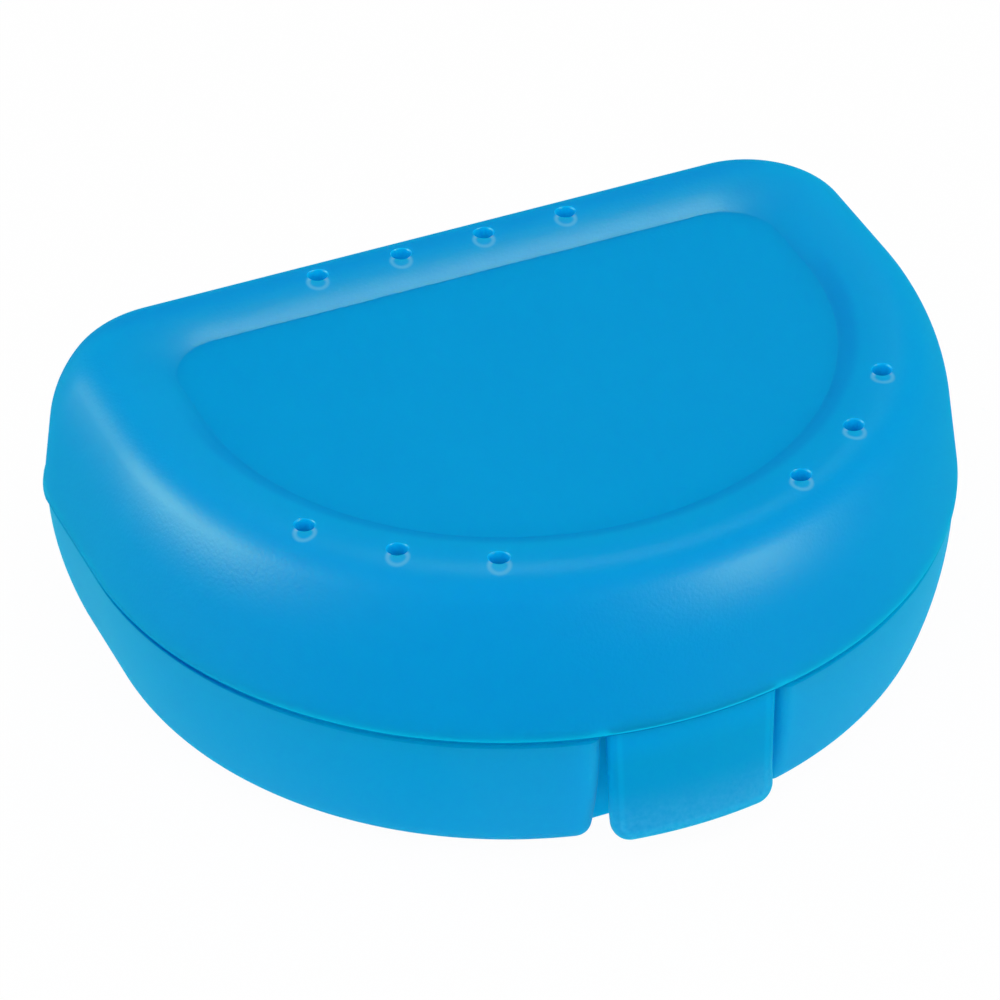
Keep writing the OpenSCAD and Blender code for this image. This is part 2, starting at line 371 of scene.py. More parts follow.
def set_values(piece, name, rule):
    """Gives each point of a piece a value from a rule on its place in millimetres."""
    values = piece.data.attributes.new(name, "FLOAT", "POINT")
    for vertex, value in zip(piece.data.vertices, values.data):
        value.value = rule(*(vertex.co / MM))


def apply_modifiers(piece):
    """Replaces a piece's mesh with the result of its modifiers."""
    graph = bpy.context.evaluated_depsgraph_get()
    result = bpy.data.meshes.new_from_object(piece.evaluated_get(graph))
    piece.modifiers.clear()
    piece.data = result


def cut(piece, tool):
    """Takes a tool's solid away from a piece and deletes the tool."""
    modifier = piece.modifiers.new("cut", "BOOLEAN")
    modifier.operation = "DIFFERENCE"
    modifier.solver = "EXACT"
    modifier.material_mode = "TRANSFER"
    modifier.object = tool
    apply_modifiers(piece)
    bpy.data.objects.remove(tool)


# Lid

crest_z = lid_h
turn_z = crest_z - shoulder_r * (1 - cos(shoulder_turn))
wall_z = turn_z - flank_r * (cos(shoulder_turn) - sin(lid_draft))
shoulder_run = shoulder_r * sin(shoulder_turn)
flank_run = flank_r * (cos(lid_draft) - sin(shoulder_turn))
crest_x = half_w - shoulder_run - flank_run - wall_z * tan(lid_draft)
shoulder_c = (crest_x, crest_z - shoulder_r)
flank_c = (
    crest_x + (shoulder_r - flank_r) * sin(shoulder_turn),
    crest_z - shoulder_r + (shoulder_r - flank_r) * cos(shoulder_turn),
)
panel_z = crest_z - panel_depth
panel_half = half_w - panel_inset
panel_rear = rear_reach - panel_inset
crest_rear = rear_reach - half_w + crest_x
rim_x = crest_x - crest_land
slope_run = rim_x - panel_half
slope_turn = math.degrees(math.atan(panel_depth / slope_run)) - slope_start
slope_r = math.hypot(slope_run, panel_depth) / (2 * sin(slope_turn))
slope_c = (rim_x + slope_r * sin(slope_start), crest_z - slope_r * cos(slope_start))


def dome_profile(wall):
    """Section of the dome's face at a depth below its outside, from the lower edge to the crest."""
    flank = arc(flank_c, flank_r - wall, lid_draft, 90 - shoulder_turn, FLANK_STEPS)
    shoulder = arc(shoulder_c, shoulder_r - wall, 90 - shoulder_turn, 90, SHOULDER_STEPS)
    wall_top = flank[0]
    foot = (wall_top[0] + wall_top[1] * tan(lid_draft), 0)
    return chain(line(foot, wall_top, WALL_STEPS), flank, shoulder)


def dish_profile(drop):
    """Section of the slope from the crest down to the panel, lowered by a drop."""
    slope = arc(slope_c, slope_r, 90 + slope_start, 90 + slope_start + 2 * slope_turn, SLOPE_STEPS)
    edge = rounded([slope[-2], (panel_half, panel_z), (panel_half - panel_run, panel_z)], panel_round)
    return [(x, z - drop) for x, z in slope[:-2] + edge]


def lid_corner(x):
    """Radius of the lid's rear corners at a distance from the arc's centre."""
    if x > crest_x:
        share = (x - crest_x) / (half_w - crest_x)
        return crest_corner_r + (corner_r - crest_corner_r) * share
    share = (x - panel_half) / (crest_x - panel_half)
    return panel_corner_r + (crest_corner_r - panel_corner_r) * share


def lid_ring(x, z, proud=0.0):
    """Ring of the lid's D at a distance from the arc's centre. The hinge side may stand proud."""
    corner = lid_corner(x)
    rear = rear_reach - half_w + x
    right = d_half(x, rear, corner)
    front_count = FRONT_STEPS + SIDE_STEPS
    swelled = right[:front_count + 1]
    for i, (px, py) in enumerate(right[front_count + 1:]):
        away = Vector((px - min(px, x - corner), py - min(py, rear - corner))).normalized()
        grow = proud * min((i + 1) / 2, 1)
        swelled.append((px + away.x * grow, py + away.y * grow))
    return [(px, py + arc_y, z + lid_z) for px, py in swelled + mirrored(swelled)]


def lid_face_rings(wall):
    """Rings of one face of the lid, from its lower edge to the panel."""
    return [lid_ring(x, z) for x, z in dome_profile(wall) + dish_profile(wall)]


def lid_edge_rings():
    """Rings of the lid's lower edge, from the outside wall over the hinge-side band to the inside wall."""
    inner_foot = half_w - lid_wall / cos(lid_draft)
    band_top = half_w - band_h * tan(lid_draft)
    lean = band_blend * tan(lid_draft)
    rings = [
        lid_ring(band_top - lean, band_h + band_blend),
        lid_ring(band_top, band_h, band_proud * band_top_share),
        lid_ring(band_top + lean, band_h - band_blend, band_proud),
    ]
    start = 2 * edge_round
    inward = start * tan(lid_draft)
    corners = [(half_w - inward, start), (half_w, 0), (inner_foot, 0), (inner_foot - inward, start)]
    for x, z in rounded(corners, edge_round):
        proud = band_proud if x > half_w - lid_wall / 2 else 0.0
        rings.append(lid_ring(x, z, proud))
    return rings


def beside(x, y):
    """Share from 0 at the front to 1 at the sides and the rear, by the angle round the arc's centre."""
    return ease(seam_start, seam_full, math.degrees(math.atan2(abs(x), arc_y - y)))


def vent_places():
    """Centres of the ten vents: a rear row and three at each side of the front."""
    places = [((i - 1.5) * rear_vent_pitch, panel_rear + vent_out) for i in range(4)]
    reach = panel_half + vent_out
    for side in (-1, 1):
        for i in range(3):
            angle = side * (front_vent_start + i * front_vent_step)
            places.append((reach * sin(angle), -reach * cos(angle)))
    return places


def vent_cutter():
    """Round cutters through the crest, flared where they meet its two faces."""
    radius = vent_d / 2
    top = lid_z + crest_z
    low = top - lid_wall
    flare = arc((radius + vent_flare, 0), vent_flare, 180, 110, FLARE_STEPS)
    mouth_r = flare[-1][0]
    profile = [(mouth_r, low - 3 * vent_flare)]
    profile += [(x, low + vent_flare - z) for x, z in reversed(flare)]
    profile += [(x, top - vent_flare + z) for x, z in flare]
    profile.append((mouth_r, top + 1))
    points = []
    faces = []
    for vx, vy in vent_places():
        start = len(points)
        for x, z in profile:
            points += [(vx + px, vy + arc_y + py, z) for px, py in arc((0, 0), x, 0, 360, VENT_STEPS)[:-1]]
        faces += skin_faces(start, len(profile), VENT_STEPS)
    return make_object("vent_cutter", points, faces)


def lid_painted_shade(x, y, z):
    """Share of painted shade at a point of the lid: rear, lower edge, and a band at the panel's foot."""
    rear = rear_shade * ease(rear_shade_start, rear_shade_full, y - arc_y - crest_rear)
    if z < lid_z + band_h:
        return max(rear, ease(lid_z + band_h, lid_z + edge_round, z) * beside(x, y))
    if z < lid_z + panel_z + foot_band_low:
        return rear
    out = math.hypot(x, min(y - arc_y, 0)) - panel_half
    band = ease(foot_band_low, foot_band_high, out) * ease(foot_band, foot_band / 2, out)
    return max(rear, foot_band_shade_share * band * ease(foot_band_start, foot_band_full, y - arc_y))


def make_lid(plain, lit, seam_shade, flat):
    """The lid, with a plain material and others for its vents, painted lighter with a painted glow, its lower
    edge, painted in shade, and its panel.
    """
    outside = lid_face_rings(0)
    inside = lid_face_rings(lid_wall)
    keep = [ring for ring in outside if ring[0][2] - lid_z > band_h + band_clear]
    rise = [ring for ring in inside if ring[0][2] - lid_z > 2 * edge_round]
    rings = list(reversed(keep)) + lid_edge_rings() + rise
    lid = loft("lid", rings)
    for material in (plain, seam_shade, flat):
        lid.data.materials.append(material)
    for face in lid.data.polygons:
        z = face.center.z / MM
        # The lower edge takes the painted shade of the parting line
        if z < lid_z + edge_round:
            face.material_index = 1
        elif abs(face.normal.z) > level_normal and z < lid_z + panel_z + level_margin:
            face.material_index = 2
    # The vent walls take a material painted lighter, with a painted glow
    cutter = vent_cutter()
    cutter.data.materials.append(lit)
    cut(lid, cutter)
    # Painted shade at the lid's rear, its lower edge and the panel's foot
    set_values(lid, "painted_shade", lid_painted_shade)
    smooth(lid)
    return lid


# Base

base_half = half_w - base_step
base_rear = rear_reach - base_step
base_corner = corner_r - base_step
bow_c = (base_half - bow_r, base_h)
foot_turn = math.degrees(math.asin((base_h - base_r) / (bow_r - base_r)))
edge_c = (bow_c[0] + (bow_r - base_r) * cos(foot_turn), base_r)
recess_y = recess_depth - half_w


def base_ring(x, z, wall):
    """Ring of the base at a distance from the arc's centre, drawn in round the finger recess."""
    inset = base_half - x
    if wall:
        edge_r = recess_inner_edge_r
        turn_r = recess_inner_corner_r
    else:
        sunk = min(max((base_r - z) / base_r, 0), 1)
        edge_r = recess_edge_r + (recess_edge_foot_r - recess_edge_r) * sunk
        turn_r = recess_corner_r
    side_x = recess_half + wall
    back_y = recess_y + inset
    edge_x = side_x + edge_r
    edge_y = -math.sqrt((x - edge_r) ** 2 - edge_x ** 2)
    lean = math.degrees(math.asin(edge_x / (x - edge_r)))
    turn_c = (side_x - turn_r, back_y - turn_r)
    right = chain(
        line((0, back_y), (turn_c[0], back_y), NOTCH_STEPS),
        arc(turn_c, turn_r, 90, 0, NOTCH_TURN_STEPS),
        line((side_x, turn_c[1]), (side_x, edge_y), NOTCH_SIDE_STEPS),
        arc((edge_x, edge_y), edge_r, 180, 270 + lean, NOTCH_EDGE_STEPS),
        arc((0, 0), x, 270 + lean, 360, NOTCH_FRONT_STEPS),
        d_rear_half(x, base_rear - inset, base_corner - base_corner_loss * inset),
    )
    return [(px, py + arc_y, z) for px, py in right + mirrored(right)]


def base_profile(wall, below):
    """Section of one face of the base, from the floor up the bowed wall to a height below the rim."""
    radius = bow_r - wall
    top_turn = math.degrees(math.asin(below / radius))
    return chain(
        arc(edge_c, base_r - wall, -90, -foot_turn, FOOT_STEPS),
        arc(bow_c, radius, -foot_turn, -top_turn, BOW_STEPS),
    )


def rim_painted_shade(x, y, z):
    """Share of painted shade at a point of the base: the rim at the sides."""
    return ease(base_h - rim_round, base_h - rim_round / 2, z) * beside(x, y)


def make_base(plain, lit, edge):
    """The base tray, with a plain material and others for its recess, painted lighter with a painted glow,
    and its rim, painted in shade.
    """
    below = 2 * rim_round
    outside = [base_ring(x, z, 0) for x, z in base_profile(0, below)]
    inside = [base_ring(x, z, base_wall) for x, z in base_profile(base_wall, below)]
    inner_x = base_half - base_wall
    corners = [(base_half, base_h - below), (base_half, base_h), (inner_x, base_h), (inner_x, base_h - below)]
    rim = []
    for x, z in rounded(corners, rim_round)[1:-1]:
        wall = 0 if x > base_half - base_wall / 2 else base_wall
        rim.append(base_ring(x, z, wall))
    base = loft("base", outside + rim + list(reversed(inside)))
    for material in (plain, lit, edge):
        base.data.materials.append(material)
    for face in base.data.polygons:
        x, y, z = face.center / MM
        in_recess = abs(x) < recess_half + recess_margin and y < arc_y + recess_y + base_r
        if z > base_h - rim_round:
            face.material_index = 2
        elif in_recess and face.normal.y < recess_facing:
            face.material_index = 1
    # Painted shade along the base's rim at the sides
    set_values(base, "painted_shade", rim_painted_shade)
    smooth(base)
    return base


def make_lip():
    """Locating lip that goes up inside the closed lid, open at the finger recess."""
    lid_inner = half_w - lid_wall / cos(lid_draft)
    lip_x = lid_inner - lip_h * tan(lid_draft) - lip_gap
    inside = lip_x - lip_t
    seat = base_half - base_wall
    low = base_h - lip_root
    top = base_h + lip_h
    corners = [(seat, low - lip_foot), (lip_x, low), (lip_x, top)]
    corners += [(inside, top), (inside, low), (seat, low - 2 * lip_foot)]
    section = rounded(corners, edge_round)
    start = math.degrees(math.asin((recess_half + base_wall) / inside))

    def path(x):
        """Way of the lip round the case at a distance from the arc's centre."""
        right = chain(
            arc((0, 0), x, 270 + start, 360, FRONT_STEPS),
            d_rear_half(x, rear_reach - half_w + x, lid_corner(x)),
        )
        return right + [(-px, py) for px, py in reversed(right[:-1])]

    lines = [[(px, py + arc_y, z) for px, py in path(x)] for x, z in section]
    rings = [list(ring) for ring in zip(*lines)]
    lip = loft("base_lip", rings)
    smooth(lip)
    return lip


# Latch flap


def flap_radius(z):
    """Radius of the flap's middle surface at a height: straight, then kicked out at the lower lip."""
    plain = half_w - flap_set - flap_t / 2
    return plain + flap_kick * ease(flap_low.z + flap_kick_h, flap_low.z, z)


def flap_half(z):
    """Half of the flap's width at a height."""
    return (flap_w - flap_taper * (base_h - z) / (base_h - flap_low.z)) / 2


def flap_edge(x, z):
    """Distance of a point of the flap's front view from its nearest side or lower edge."""
    to_side = flap_half(z) - abs(x)
    to_foot = z - flap_low.z
    if to_side < flap_corner_r and to_foot < flap_corner_r:
        return flap_corner_r - math.hypot(flap_corner_r - to_side, flap_corner_r - to_foot)
    return min(to_side, to_foot)


def flap_points(across, down):
    """Points of the flap's front and back faces, at a share of its width and of its height."""
    foot_half = (flap_w - flap_taper) / 2
    corner = max(abs(across) * foot_half - (foot_half - flap_corner_r), 0)
    foot_z = flap_low.z + flap_corner_r - math.sqrt(max(flap_corner_r ** 2 - corner ** 2, 0))
    z = flap_root_z + (foot_z - flap_root_z) * down
    x = across * flap_half(z)
    depth = min(max(flap_edge(x, z) / flap_edge_r, 0), 1)
    thick = flap_t / 2 * (1 - (1 - depth) ** flap_edge_power) ** (1 / flap_edge_power)
    pair = []
    for reach in (flap_radius(z) + thick, flap_radius(z) - thick):
        pair.append((x, arc_y - math.sqrt(reach ** 2 - x ** 2), z))
    return pair


def make_flap():
    """The flap: a front and a back face that meet along its sides and foot, and a strip across its root."""
    columns = 72
    rows = 44
    front = []
    back = []
    for row in range(rows + 1):
        for column in range(columns + 1):
            ahead, behind = flap_points(-cos(180 * column / columns), sin(90 * row / rows))
            front.append(ahead)
            back.append(behind)
    across_count = columns + 1
    faces = []
    offset = len(front)
    for row in range(rows):
        for column in range(columns):
            a = row * across_count + column
            quad = (a, a + 1, a + 1 + across_count, a + across_count)
            faces.append(quad)
            faces.append(tuple(offset + i for i in reversed(quad)))
    for column in range(columns):
        faces.append((column, column + 1, offset + column + 1, offset + column))
    flap = make_object("flap", front + back, faces)
    set_values(flap, "rim", lambda x, y, z: flap_edge(x, z))
    smooth(flap, flap_crease)
    return flap


# Hinge and latch details


def prism(name, outline, middle_x, width, radius=small_round):
    """A closed (y, z) outline laid across X, with rounded end edges."""
    count = len(outline)
    normals = []
    for i in range(count):
        before = Vector(outline[i - 1])
        after = Vector(outline[(i + 1) % count])
        along = (after - before).normalized()
        normals.append(Vector((along.y, -along.x)))
    area = sum(outline[i - 1][0] * outline[i][1] - outline[i][0] * outline[i - 1][1] for i in range(count))
    inward = -1 if area > 0 else 1
    levels = []
    for i in range(END_STEPS + 1):
        angle = 90 * i / END_STEPS
        levels.append((radius * (1 - sin(angle)), width / 2 - radius * (1 - cos(angle))))
    sides = [(inset, -reach) for inset, reach in levels] + levels[::-1]
    rings = []
    for inset, x in sides:
        ring = []
        for point, normal in zip(outline, normals):
            shifted = Vector(point) + normal * inset * inward
            ring.append((middle_x + x, shifted.x, shifted.y))
        rings.append(ring)
    piece = loft(name, rings)
    smooth(piece)
    return piece


def lid_rear_y(z):
    """Y of the lid's rear wall at a height."""
    return arc_y + rear_reach - (z - lid_z) * tan(lid_draft)


def base_rear_y(z):
    """Y of the base's rear wall at a height."""
    return arc_y + base_rear - bow_r + math.sqrt(bow_r ** 2 - (base_h - z) ** 2)


def make_ears(name, middle_x):
    """A pair of ears on the base wall that carry one rod."""
    outline = arc((pivot_y, pivot_z), knuckle_r, -ear_back_turn, ear_top_turn, EAR_STEPS)
    top = (base_rear_y(base_h) - root, base_h)
    foot = (base_rear_y(ear_foot_z) - root, ear_foot_z)
    outline += line(top, foot, EAR_ROOT_STEPS)
    pair = []
    for side, word in ((-1, "outer"), (1, "inner")):
        x = middle_x + side * (rod_len + ear_w) / 2
        pair.append(prism(f"{name}_{word}", outline, x, ear_w))
    return pair


def make_rod(name, middle_x):
    """A hinge rod between its ears."""
    outline = arc((pivot_y, pivot_z), rod_r, 0, 360, BORE_STEPS)[:-1]
    return prism(name, outline, middle_x, rod_len, rod_round)


def make_clip(name, middle_x):
    """A snap clip on the lid, open below so that it presses over its rod."""
    pivot = (pivot_y, pivot_z)
    outer_gap = math.degrees(math.asin(clip_mouth / 2 / knuckle_r))
    inner_gap = math.degrees(math.asin(clip_mouth / 2 / clip_r))
    low = lid_z + clip_root_gap
    high = lid_z + clip_root_h
    outline = arc(pivot, knuckle_r, -90 + outer_gap, clip_top_turn, KNUCKLE_STEPS)
    outline += [(lid_rear_y(high) - root, high), (lid_rear_y(low) - root, low)]
    outline += arc(pivot, knuckle_r, clip_front_turn, 270 - outer_gap, KNUCKLE_STEPS // 2)
    outline += arc(pivot, clip_r, 270 - inner_gap, -90 + inner_gap, BORE_STEPS)
    return prism(name, outline, middle_x, clip_w, clip_round)


# Materials

PLASTIC_IOR = 1.49
NO_GLOW = (0, 0, 0, 1)
LIGHT_REACH = (0.35, 0.85, 0.75)
CLOUD_SCALE = 70
CLOUD_TINT = 0.02
ROUGH_SPREAD = 0.05
GRAIN_SCALE = 3200
GRAIN_STRENGTH = 0.45
GRAIN_HEIGHT = 0.05
SPECKLE_SCALE = 2200

LID_BLUE = (0, 0.305, 0.745, 1)
# Painted shade of the lid: its rear, its lower edge and the panel's foot
LID_SHADE_BLUE = (0, 0.16, 0.6, 1)
# Painted glint in front of the vents
PAINTED_GLINT_BLUE = (0.07, 0.4, 0.76, 1)
# Painted shade along the lid's lower edge at the parting line
SEAM_SHADE_BLUE = (0, 0.17, 0.5, 1)
# Vent walls painted lighter, with a painted glow
VENT_LIT_BLUE = (0, 0.35, 0.96, 1)
VENT_PAINTED_GLOW = (0, 0.03, 0.1, 1)
# The base is painted a little lighter than the lid, in place of light its down-facing walls miss
BASE_BLUE = (0, 0.33, 0.81, 1)
# Painted shade along the base's rim at the parting line: a darker rim, darker still at the sides
RIM_BLUE = (0, 0.29, 0.74, 1)
RIM_SHADE_BLUE = (0, 0.1, 0.42, 1)
# Recess walls painted lighter, with a painted glow
RECESS_LIT_BLUE = (0, 0.37, 0.88, 1)
RECESS_PAINTED_GLOW = (0, 0.1, 0.16, 1)
FLAP_BLUE = (0, 0.32, 0.62, 1)
# Painted light on the flap: a lighter head and a pale speckled highlight on its foot
FLAP_HEAD_LIT_BLUE = (0, 0.35, 0.72, 1)
FLAP_FOOT_HIGHLIGHT_BLUE = (0.035, 0.42, 0.7, 1)


def new_node(tree, kind, values=None, **settings):
    """A new node with its settings and the values of its inputs."""
    node = tree.nodes.new(kind)
    for name, value in settings.items():
        setattr(node, name, value)
    for socket, value in (values or {}).items():
        node.inputs[socket].default_value = value
    return node


def calculate(tree, operation, *terms):
    """Result of an operation on sockets and numbers."""
    node = new_node(tree, "ShaderNodeMath", operation=operation)
    for term, socket in zip(terms, node.inputs):
        if isinstance(term, bpy.types.NodeSocket):
            tree.links.new(term, socket)
        else:
            socket.default_value = term
    return node.outputs["Value"]


def graded(tree, value, start, end, low=0.0, high=1.0, soft=True):
    """Level that goes from low to high as a value goes from a start to an end."""
    levels = {"From Min": start, "From Max": end, "To Min": low, "To Max": high}
    kind = "SMOOTHSTEP" if soft else "LINEAR"
    node = new_node(tree, "ShaderNodeMapRange", levels, interpolation_type=kind)
    tree.links.new(value, node.inputs["Value"])
    return node.outputs["Result"]


def own_place(tree):
    """Place in a piece's own coordinates."""
    return tree.nodes.new("ShaderNodeTexCoord").outputs["Object"]


def noise(tree, scale, detail):
    """Uneven share in a piece's own coordinates."""
    texture = new_node(tree, "ShaderNodeTexNoise", {"Scale": scale, "Detail": detail})
    tree.links.new(own_place(tree), texture.inputs["Vector"])
    return texture.outputs["Fac"]


def point_values(tree, name):
    """Values that the points of a piece hold."""
    return new_node(tree, "ShaderNodeAttribute", attribute_name=name).outputs["Fac"]


def plastic(name, colour, rough, depth=1.0, reach=0.01, shine=0.07, glow=NO_GLOW):
    """Frosted translucent polypropylene: cloudy and unevenly rough, with a moulded grain and a satin face.

    Depth is the share of light that travels inside, and reach is how far it gets, in metres. Shine is the
    weight of the satin face, and glow is a painted glow that stands in for light led in from the walls
    around.
    """
    pale = [min(channel + CLOUD_TINT, 1) if channel else 0 for channel in colour[:3]] + [1]
    material = bpy.data.materials.new(name)
    material.use_nodes = True
    tree = material.node_tree
    shader = tree.nodes["Principled BSDF"]
    constants = {
        "IOR": PLASTIC_IOR,
        "Specular IOR Level": 0.0,
        "Coat Weight": shine,
        "Coat Roughness": rough,
        "Coat IOR": PLASTIC_IOR,
        "Emission Color": glow,
        "Emission Strength": 1.0,
        "Subsurface Weight": depth,
        "Subsurface Radius": LIGHT_REACH,
        "Subsurface Scale": reach,
    }
    for socket, value in constants.items():
        shader.inputs[socket].default_value = value
    cloud = noise(tree, CLOUD_SCALE, 3)
    tint = new_node(tree, "ShaderNodeMix", data_type="RGBA")
    tint.inputs["A"].default_value = colour
    tint.inputs["B"].default_value = pale
    tree.links.new(cloud, tint.inputs["Factor"])
    tree.links.new(tint.outputs["Result"], shader.inputs["Base Color"])
    uneven = graded(tree, cloud, 0, 1, rough - ROUGH_SPREAD, rough + ROUGH_SPREAD, soft=False)
    tree.links.new(uneven, shader.inputs["Roughness"])
    bump = new_node(tree, "ShaderNodeBump", {"Strength": GRAIN_STRENGTH, "Distance": GRAIN_HEIGHT * MM})
    tree.links.new(noise(tree, GRAIN_SCALE, 2), bump.inputs["Height"])
    for socket in ("Normal", "Coat Normal"):
        tree.links.new(bump.outputs["Normal"], shader.inputs[socket])
    return material


def paint(material, share, colour):
    """Draws the colour of a material towards another by a share."""
    tree = material.node_tree
    target = tree.nodes["Principled BSDF"].inputs["Base Color"]
    mix = new_node(tree, "ShaderNodeMix", data_type="RGBA")
    mix.inputs["B"].default_value = colour
    tree.links.new(share, mix.inputs["Factor"])
    tree.links.new(target.links[0].from_socket, mix.inputs["A"])
    tree.links.new(mix.outputs["Result"], target)


def paint_shade(material, colour):
    """Draws a material towards a darker colour, as painted shade, by the share that a piece's points hold."""
    paint(material, point_values(material.node_tree, "painted_shade"), colour)


def paint_vent_glints(material):
    """Painted glints in front of the vents, standing in for their lower edges seen through the frosted wall.
    """
    tree = material.node_tree
    place = own_place(tree)
    nearest = None
    for vx, vy in vent_places():
        centre = Vector((vx + glint_shift.x, vy + arc_y + glint_shift.y, lid_z + crest_z))
        away = new_node(tree, "ShaderNodeVectorMath", {1: centre * MM}, operation="DISTANCE")
        tree.links.new(place, away.inputs[0])
        distance = away.outputs["Value"]
        nearest = distance if nearest is None else calculate(tree, "MINIMUM", nearest, distance)
    off = calculate(tree, "ABSOLUTE", calculate(tree, "SUBTRACT", nearest, vent_d / 2 * MM))
    paint(material, graded(tree, off, 0, glint_w * MM, 1, 0), PAINTED_GLINT_BLUE)


def paint_flap_light(material):
    """Painted light on the flap: a lighter head against the lid's shade, and a speckled highlight on its
    foot.
    """
    tree = material.node_tree
    parts = tree.nodes.new("ShaderNodeSeparateXYZ")
    tree.links.new(own_place(tree), parts.inputs["Vector"])
    height = parts.outputs["Z"]
    head = graded(tree, height, (flap_root_z - flap_head_lit_start) * MM, (flap_root_z - flap_head_lit_full) * MM)
    paint(material, head, FLAP_HEAD_LIT_BLUE)
    foot = graded(tree, height, (flap_low.z + flap_foot_highlight_start) * MM, (flap_low.z + flap_foot_highlight_full) * MM)
    paint(material, calculate(tree, "MULTIPLY", foot, noise(tree, SPECKLE_SCALE, 3)), FLAP_FOOT_HIGHLIGHT_BLUE)


def paint_flap_edge_light(material):
    """Painted shade and highlight lines along the flap's rounded edge."""
    tree = material.node_tree
    target = tree.nodes["Principled BSDF"].inputs["Base Color"]
    ramp = tree.nodes.new("ShaderNodeValToRGB")
    stops = ramp.color_ramp.elements
    for stop in stops:
        stop.color = (0.5, 0.5, 0.5, 1)
    for position, level in flap_edge_light_lines:
        stops.new(position).color = (level, level, level, 1)
    across = graded(tree, point_values(tree, "rim"), 0, flap_edge_light_w, soft=False)
    tree.links.new(across, ramp.inputs["Fac"])
    mix = new_node(tree, "ShaderNodeMix", data_type="RGBA", blend_type="OVERLAY")
    mix.inputs["Factor"].default_value = 1.0
    tree.links.new(target.links[0].from_socket, mix.inputs["A"])
    tree.links.new(ramp.outputs["Color"], mix.inputs["B"])
    tree.links.new(mix.outputs["Result"], target)


def dress(piece, material, body, slot, *nodes):
    """Gives a piece its material, the body it moves with and the nodes it stands for. Its slot is not used.
    """
    if not piece.data.materials:
        piece.data.materials.append(material)
    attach(piece, body)
    if nodes:
        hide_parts(*nodes)


lid_plastic = plastic("lid_plastic", LID_BLUE, 0.4, depth=0.8, shine=0.04)
panel_plastic = plastic("panel_plastic", LID_BLUE, 0.4, depth=0.8, shine=0.02)
base_plastic = plastic("base_plastic", BASE_BLUE, 0.42, shine=0.14)
flap_plastic = plastic("flap_plastic", FLAP_BLUE, 0.4, reach=0.003, shine=0.05)
# Holes and gaps, painted lighter and given a painted glow in place of the light that travels inside the
# plastic
vent_lit_plastic = plastic("vent_lit_plastic", VENT_LIT_BLUE, 0.3, glow=VENT_PAINTED_GLOW)
recess_lit_plastic = plastic("recess_lit_plastic", RECESS_LIT_BLUE, 0.45, glow=RECESS_PAINTED_GLOW)
# Both sides of the parting line, without a satin face and painted darker as shade along the line
rim_plastic = plastic("rim_plastic", RIM_BLUE, 0.42, shine=0.0)
seam_shade_plastic = plastic("seam_shade_plastic", SEAM_SHADE_BLUE, 0.45, depth=0.1, shine=0.0)
# Painted shade on the lid
paint_shade(lid_plastic, LID_SHADE_BLUE)
# Painted shade on the base's rim at the sides
paint_shade(rim_plastic, RIM_SHADE_BLUE)
# Painted glints in front of the vents
paint_vent_glints(lid_plastic)
# Painted light on the flap's head and a painted highlight on its foot
paint_flap_light(flap_plastic)
# Painted shade and highlight lines along the flap's edge
paint_flap_edge_light(flap_plastic)

lid = make_lid(lid_plastic, vent_lit_plastic, seam_shade_plastic, panel_plastic)
base = make_base(base_plastic, recess_lit_plastic, rim_plastic)
dress(lid, lid_plastic, "lid", "lid_plastic", "lid_shell")
dress(base, base_plastic, "base", "base_plastic", "base_shell")
dress(make_lip(), rim_plastic, "base", "base_plastic")
dress(make_flap(), flap_plastic, "flap", "flap_plastic", "latch_flap")
for word, side in (("left", -1), ("right", 1)):
    ears = make_ears(f"{word}_ear", side * hinge_x)
    for ear in ears:
        dress(ear, base_plastic, "base", "base_plastic", f"{word}_hinge_ears")
    dress(make_rod(f"{word}_rod", side * hinge_x), base_plastic, "base", "base_plastic", f"{word}_hinge_rod")
    dress(make_clip(f"{word}_clip", side * hinge_x), lid_plastic, "lid", "lid_plastic", f"{word}_hinge_clip")
for node, material in (("latch_catch", base_plastic), ("latch_hook", flap_plastic)):
    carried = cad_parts[node]
    carried.data.materials.clear()
    carried.data.materials.append(material)
    edge = carried.modifiers.new("edge", "BEVEL")
    edge.width = latch_round * MM
    edge.segments = 3
    edge.limit_method = "ANGLE"


# Stage and light

middle = Vector((0, 0, 0.02))
GLOSS_COLOUR = (0.65, 1.0, 0.45)
FLOOR_WHITE = (0.97, 0.97, 0.97, 1)
# Reach of the floor in metres, and its drop below the case in millimetres
FLOOR_REACH = 6.0
FLOOR_DROP = 0.05


def seen_rays(tree):
    """Socket that is 1 for rays that show what they meet: camera, glossy and transmission rays."""
    path = tree.nodes.new("ShaderNodeLightPath")
    seen = path.outputs["Is Camera Ray"]
    for kind in ("Is Glossy Ray", "Is Transmission Ray"):
        seen = calculate(tree, "MAXIMUM", seen, path.outputs[kind])
    return seen


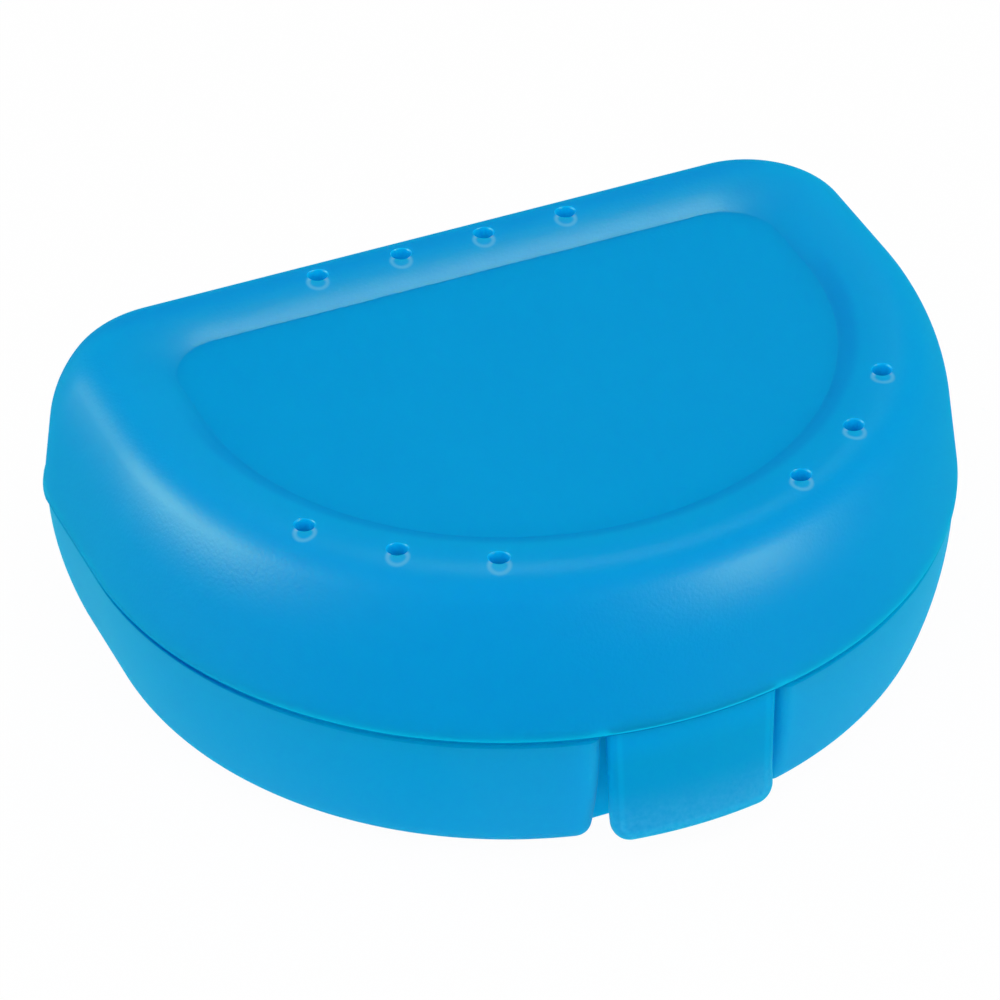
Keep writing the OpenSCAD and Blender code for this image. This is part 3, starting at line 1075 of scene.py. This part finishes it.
def make_floor(white_share):
    """White floor just below the case, which stays white in the picture and keeps a faint shadow."""
    mesh = bpy.data.meshes.new("floor")
    signs = ((-1, -1), (1, -1), (1, 1), (-1, 1))
    corners = [(x * FLOOR_REACH, y * FLOOR_REACH, -FLOOR_DROP * MM) for x, y in signs]
    mesh.from_pydata(corners, [], [(0, 1, 2, 3)])
    floor = bpy.data.objects.new("floor", mesh)
    bpy.context.scene.collection.objects.link(floor)
    material = bpy.data.materials.new("floor_white")
    material.use_nodes = True
    tree = material.node_tree
    tree.nodes.clear()
    matte = new_node(tree, "ShaderNodeBsdfDiffuse", {"Color": FLOOR_WHITE})
    glow = new_node(tree, "ShaderNodeEmission", {"Color": (1, 1, 1, 1)})
    mix = tree.nodes.new("ShaderNodeMixShader")
    tree.links.new(calculate(tree, "MULTIPLY", seen_rays(tree), white_share), mix.inputs["Fac"])
    tree.links.new(matte.outputs["BSDF"], mix.inputs[1])
    tree.links.new(glow.outputs["Emission"], mix.inputs[2])
    out = tree.nodes.new("ShaderNodeOutputMaterial")
    tree.links.new(mix.outputs["Shader"], out.inputs["Surface"])
    floor.data.materials.append(material)


def make_world(front, rear):
    """Light from all round, stronger in front than behind, seen as white behind the floor."""
    world = bpy.data.worlds.new("studio")
    bpy.context.scene.world = world
    world.use_nodes = True
    tree = world.node_tree
    background = tree.nodes["Background"]
    background.inputs["Color"].default_value = (1, 1, 1, 1)
    place = tree.nodes.new("ShaderNodeTexCoord")
    parts = tree.nodes.new("ShaderNodeSeparateXYZ")
    tree.links.new(place.outputs["Generated"], parts.inputs["Vector"])
    level = graded(tree, parts.outputs["Y"], -1, 1, front, rear, soft=False)
    strength = new_node(tree, "ShaderNodeMapRange", {"To Max": 1.0})
    tree.links.new(level, strength.inputs["To Min"])
    tree.links.new(seen_rays(tree), strength.inputs["Value"])
    tree.links.new(strength.outputs["Result"], background.inputs["Strength"])


def around(azimuth, elevation, reach):
    """A place at a reach from the middle of the case. Azimuth 0 is in front."""
    away = Vector((sin(azimuth) * cos(elevation), -cos(azimuth) * cos(elevation), sin(elevation)))
    return middle + away * reach


def make_light(name, place, aim, size, power, gloss, spread=180):
    """A soft light that gives either gloss or even light."""
    data = bpy.data.lights.new(name, "AREA")
    data.shape = "RECTANGLE"
    data.size = size[0]
    data.size_y = size[1]
    data.energy = power
    if gloss:
        data.color = GLOSS_COLOUR
    data.spread = math.radians(spread)
    light = bpy.data.objects.new(name, data)
    bpy.context.scene.collection.objects.link(light)
    light.location = place
    light.rotation_euler = (aim - place).to_track_quat("-Z", "Y").to_euler()
    light.visible_camera = False
    light.visible_diffuse = not gloss
    light.visible_glossy = gloss


def make_camera():
    """Camera at the photograph's viewing angle, on a long lens."""
    azimuth = -22.720
    elevation = 36.503
    roll = 1.154
    distance = 0.5309
    aim = Vector((-4.51, -1.17, 17.16)) * MM
    back = Vector((sin(azimuth) * cos(elevation), -cos(azimuth) * cos(elevation), sin(elevation)))
    level = Vector((cos(azimuth), sin(azimuth), 0))
    upright = back.cross(level)
    right = level * cos(roll) - upright * sin(roll)
    up = level * sin(roll) + upright * cos(roll)
    data = bpy.data.cameras.new("camera")
    data.sensor_width = 36
    data.lens = 216
    camera = bpy.data.objects.new("camera", data)
    bpy.context.scene.collection.objects.link(camera)
    turn = Matrix((right, up, back)).transposed()
    camera.matrix_world = Matrix.Translation(aim + back * distance) @ turn.to_4x4()
    bpy.context.scene.camera = camera


make_floor(0.97)
make_world(0.92, 0.5)
make_light("fill", around(-25, 64, 0.6), middle, (0.5, 0.5), 1.1, gloss=False)
make_light("left_gloss", around(-111, 17, 0.6), middle, (0.5, 0.3), 74.0, gloss=True)
make_light("right_gloss", around(37, 17, 0.6), middle, (0.22, 0.25), 36.0, gloss=True)
rear_place = Vector((40, 24, 142)) * MM
rear_aim = Vector((3, 21, 28)) * MM
make_light("rear_gloss", rear_place, rear_aim, (0.03, 0.12), 0.25, gloss=True, spread=50)
make_camera()
bpy.context.scene.view_settings.view_transform = "Standard"
